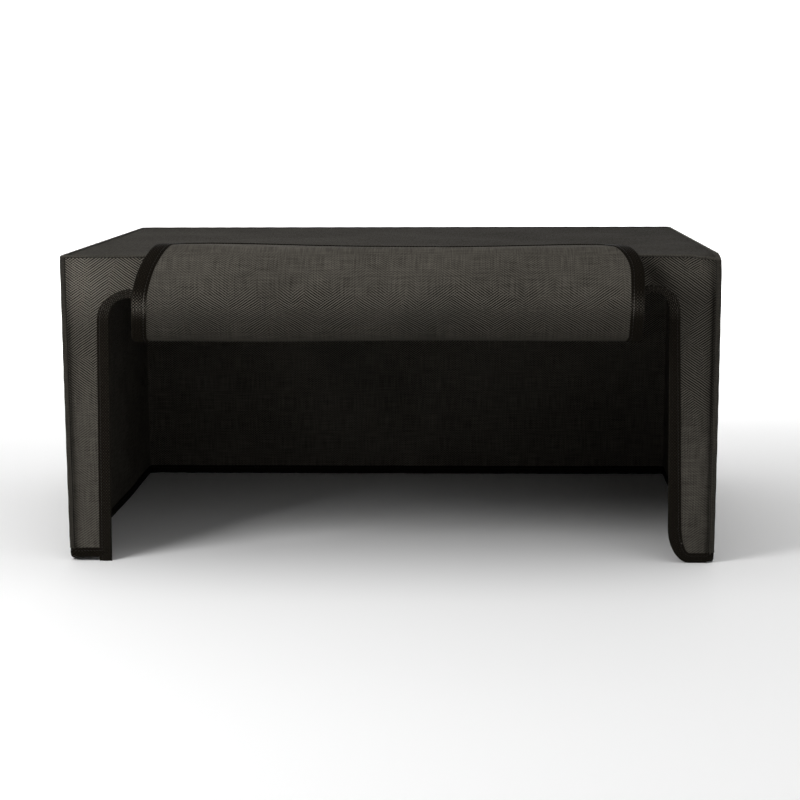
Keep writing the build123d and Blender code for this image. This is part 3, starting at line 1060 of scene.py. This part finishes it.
def uprightSeam(name, cadNode, sideSign, rearSign, bottom):
    # the profile carried up a corner: first number in from the side, second in from the front or back
    first, second = seamProfile(seamWide, seamShape["thin"] + 0.8 * mm)
    heights = np.linspace(bottom, topZ - 1.0 * mm, 90)[:, None]
    y = backY if rearSign > 0 else frontY
    ripple = 0.07 * mm * np.sin(heights / (2.9 * mm) + 2 * np.sin(heights / (21 * mm)))
    grid = stacked(sideSign * (half - first + ripple), y - rearSign * (second - ripple), heights)
    rows, columns = size = grid.shape[:2]
    # the same mask that paints shade on the panels also darkens the corner seams' cloth
    seam = makePiece(name, settle(grid), [gridFaces(rows, columns, wrapColumns=True), endCaps(rows, columns)],
                     stacked(runAlong(stacked(first, second)), heights), seamMaterial, hardFaces=1,
                     wear=np.broadcast_to(rubbedSeam(first, second), size), dull=np.full(size, 0.4))
    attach(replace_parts(seam, cadNode), "cover")
    middle = np.linspace(bottom + 2 * mm, topZ - 4 * mm, 60)
    x, y = sideSign * (half - seamWide - 0.1 * mm), y - rearSign * seamShape["stitchSunk"]
    path = settle(spaced(stacked(x, y, middle)))
    return path, np.gradient(path, axis=0), np.broadcast_to((0.0, float(rearSign), 0.0), path.shape), 0.0


seamRows = []
for sideName, sideSign in (("left", -1), ("right", 1)):
    frontBottom = hemTall - 1.5 * mm + (leftHemZ if sideSign < 0 else 0)
    seamRows.append(uprightSeam(
        f"{sideName}FrontCornerSeam", f"front_{sideName}_corner_seam", sideSign, -1, frontBottom))
    seamRows.append(uprightSeam(
        f"{sideName}BackCornerSeam", f"back_{sideName}_corner_seam", sideSign, 1, hemTall - 1.5 * mm))


def topRing():
    # the outline of the top at its outer faces, with small rounded corners, and its inward directions
    radius = seamShape["ringRound"]
    x, y0, y1 = half - radius, frontY + radius, backY - radius
    path = joined(
        line((-x, frontY), (x, frontY), 2.2 * mm), arc((x, y0), radius, -90, 0, 7),
        line((half, y0), (half, y1), 3 * mm), arc((x, y1), radius, 0, 90, 7),
        line((x, backY), (-x, backY), 3 * mm), arc((-x, y1), radius, 90, 180, 7),
        line((-half, y1), (-half, y0), 3 * mm), arc((-x, y0), radius, 180, 270, 7))[:-1]
    run, direction = alongPath(path, closed=True)
    return path, run, leftOf(direction)


ringPath, ringRun, ringInward = topRing()


def onRing(away, down):
    # away is the distance in from the outer face, down the depth below the top
    ripple = 0.1 * mm * np.sin(ringRun / (2.7 * mm) + 2 * np.sin(ringRun / (19 * mm)))[:, None]
    away, down = np.broadcast_arrays(away[None, :] - ripple, down[None, :] - ripple * 0.5)
    flat = ringPath[:, None] + ringInward[:, None] * away[..., None]
    return settle(np.concatenate([flat, (topZ - down)[..., None]], axis=-1))


ringFirst, ringSecond = seamProfile(seamWide, seamShape["thin"])
ringGrid = onRing(ringFirst, ringSecond)
topSeam = makePiece(
    "topSeam", ringGrid, [gridFaces(*ringGrid.shape[:2], wrapRows=True, wrapColumns=True)],
    stacked(runAlong(stacked(ringFirst, ringSecond)), ringRun[:, None]), seamMaterial,
    wear=np.broadcast_to(rubbedSeam(ringFirst, ringSecond), ringGrid.shape[:2]))
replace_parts(topSeam, "top_front_seam", "top_back_seam", "top_left_seam", "top_right_seam")
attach(topSeam, "cover")
sunk = seamShape["stitchSunk"]
for away, down in ((seamWide + 0.1 * mm, sunk), (sunk, seamShape["thin"] + 0.15 * mm)):
    path = spaced(onRing(np.array([away]), np.array([down]))[:, 0])
    x, y = path[:, 0] / half, (path[:, 1] - (frontY + backY) / 2) / ((backY - frontY) / 2)
    sideways = np.abs(x) > np.abs(y)
    level = stacked(sideways * np.sign(x), ~sideways * np.sign(y), 0.0)
    up = np.broadcast_to((0.0, 0.0, 1.0), path.shape) if down < away else level
    seamRows.append((path, np.gradient(path, axis=0), up, 0.0))
seamStitches = stitchesAt("seamStitches", seamRows)
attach(seamStitches, "cover")
print("seams made")

# ---- the flap, in pieces that each hold one bend ----

breaks = np.concatenate([middleRun[:-1], [flapLong]])


def flapOutlineHalf(run, side):
    # half width with the free corners rounded: R - sqrt(R^2 - d^2) comes off, d into the corner
    radius, start = flap["cornerRound"], flapLong - flap["cornerRound"]
    into = np.clip(run - start, 0, radius)
    return flapEdge(run, side) - (radius - np.sqrt(np.maximum(radius ** 2 - into ** 2, 0)))


def flapCloth(name, first, last):
    tuck = panelGrid["tuck"]
    final = last >= flapLong - 1e-9
    stop = last - tuck if final else last
    count = max(6, int(math.ceil((stop - first) / flap["rowStep"])) + 1)
    runs = np.linspace(first, stop, count)
    if final:
        corner = flapLong - flap["cornerRound"]
        runs = np.concatenate([np.linspace(first, corner, 34)[:-1],
                               corner + (stop - corner) * np.sin(np.linspace(0, math.pi / 2, 22))])
    share = np.linspace(-1, 1, int(2 * flapHalf / flap["columnStep"]) + 1)
    low, high = flapOutlineHalf(runs, -1) - tuck, flapOutlineHalf(runs, 1) - tuck
    x = np.where(share[None, :] < 0, share[None, :] * low[:, None], share[None, :] * high[:, None])
    run = np.broadcast_to(runs[:, None], x.shape)
    return clothShell(name, onFlap(x, run, 0.0), normalsOf(onFlap, x, run), stacked(x, bendZ[0] - run),
                      clothMaterial, flapPaintedGlint(run), flapPaintedShade(run))


def flapOutline(first, last):
    # the flap's edges between two distances down the cloth: two sides, or all round its free end
    radius = flap["cornerRound"]
    straight = min(last, flapLong - radius)
    run = np.linspace(first, straight, max(4, int((straight - first) / (1.2 * mm)) + 1))
    left, right = stacked(-flapEdge(run, -1), run), stacked(flapEdge(run, 1), run)
    if last < flapLong - 1e-9:
        return [(left, -1, flapTapeWide(left[:, 0])), (right, 1, flapTapeWide(right[:, 0]))]
    leftCentre, rightCentre = left[-1] + (radius, 0), right[-1] - (radius, 0)
    path = joined(left, arc(leftCentre, radius, 180, 90, 25),
                  line((leftCentre[0], flapLong), (rightCentre[0], flapLong), 3 * mm),
                  arc(rightCentre, radius, 90, 0, 25), right[::-1])
    return [(path, -1, flapTapeWide(path[:, 0]))]


flapSheets, flapTrim = [], []
for index in range(len(bendRun)):
    number = f"{index + 1:02d}"
    first, last = breaks[index], breaks[index + 1]
    outline = flapOutline(first, last)
    clothPiece = flapCloth(f"flapCloth{number}", first, last)
    tapePiece = tapeAlong(f"flapTape{number}", outline, onFlap, tapePaintedGlint)
    stitchPiece = stitchesAt(f"flapStitches{number}", tapeStitches(outline, onFlap, threadPaintedGlint))
    # where the bend's turn starts and ends in the piece, just inside its edges
    startRun, endRun = first + 0.1 * (middleRun[index + 1] - first), middleRun[index + 1]
    endRun -= 0.1 * (endRun - first)
    for piece, slotName in ((clothPiece, "cloth"), (tapePiece, "binding_tape"), (stitchPiece, "seam")):
        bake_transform(piece)
    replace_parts(clothPiece, f"flap_cloth_{number}")
    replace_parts(tapePiece, f"flap_tape_{number}")
    flapSheets.append(clothPiece)
    flapTrim += [tapePiece, stitchPiece]
print("flap made in", len(flapSheets), "pieces")

# ---- floor, light and camera ----

studio = {"floorTone": (0.92, 0.92, 0.92, 1), "worldTone": (1.0, 1.0, 1.0, 1), "worldStrength": 0.36}


def studioFloor():
    # a flat sheet that rises behind the object: depth along Y, then a quarter turn, then up
    turn, flatLong, tall, wide = 1.2, 3.0, 3.0, 9.0
    share = np.linspace(0, math.pi / 2, 25)
    depth = np.concatenate([[-4.0, 0.0], flatLong + turn * np.sin(share), [flatLong + turn]])
    rise = np.concatenate([[0.0, 0.0], turn * (1 - np.cos(share)), [turn + tall]])
    x, y = np.meshgrid(np.linspace(-wide / 2, wide / 2, 3), depth, indexing="ij")
    z = np.broadcast_to(rise, x.shape)
    points = np.stack([x, y, z], axis=-1).reshape(-1, 3)
    mesh = bpy.data.meshes.new("studioFloor")
    mesh.from_pydata(points.tolist(), [], gridFaces(*x.shape).tolist())
    mesh.polygons.foreach_set("use_smooth", np.ones(len(mesh.polygons), bool))
    floor = bpy.data.objects.new("studioFloor", mesh)
    bpy.context.scene.collection.objects.link(floor)
    made = bpy.data.materials.new("paleFloor")
    made.use_nodes = True
    shader = made.node_tree.nodes["Principled BSDF"].inputs
    shader["Base Color"].default_value, shader["Roughness"].default_value = studio["floorTone"], 0.85
    mesh.materials.append(made)
    return floor


def softLight(name, place, target, size, power):
    lamp = bpy.data.lights.new(name, "AREA")
    lamp.shape = "RECTANGLE"
    lamp.size, lamp.size_y = size
    lamp.energy = power
    holder = bpy.data.objects.new(name, lamp)
    holder.location = place
    toward = np.array(target) - np.array(place)
    yaw = math.atan2(-toward[0], toward[1])
    tilt = math.atan2(math.hypot(toward[0], toward[1]), -toward[2])
    holder.rotation_euler = (tilt, 0, yaw)
    bpy.context.scene.collection.objects.link(holder)


studioFloor()
middleY = (frontY + backY) / 2
softLight("keyLight", (-0.72, frontY - 0.6, 0.8), (-0.1, frontY, 0.17), (0.45, 0.45), 7)
softLight("fillLight", (0.9, frontY - 1.8, 1.0), (0.1, frontY, 0.1), (1.4, 1.4), 4)
softLight("topLight", (0.1, middleY - 0.2, 1.9), (0.1, middleY, 0), (2.2, 1.6), 13)
softLight("backdropLight", (0, backY + 1.2, 2.3), (0, backY + 3.6, 0.9), (3.0, 1.0), 150)
world = bpy.data.worlds.new("paleStudio")
world.use_nodes = True
background = world.node_tree.nodes["Background"].inputs
background[0].default_value, background[1].default_value = studio["worldTone"], studio["worldStrength"]
bpy.context.scene.world = world
bpy.context.scene.view_settings.view_transform = "Standard"

viewer = {"right": 53.9 * mm, "before": 1.3923, "up": 0.3128, "turn": 0.0335, "tilt": 0.1402, "roll": 0.0035,
          "lens": 90.18}
cameraData = bpy.data.cameras.new("camera")
cameraData.lens = viewer["lens"]
cameraData.sensor_width = 36
camera = bpy.data.objects.new("camera", cameraData)
camera.location = (viewer["right"], frontY - viewer["before"], viewer["up"])
camera.rotation_euler = (math.pi / 2 - viewer["tilt"], 0, viewer["turn"])
camera.rotation_euler.rotate_axis("Z", -viewer["roll"])
bpy.context.scene.collection.objects.link(camera)
bpy.context.scene.camera = camera

print("studio set")
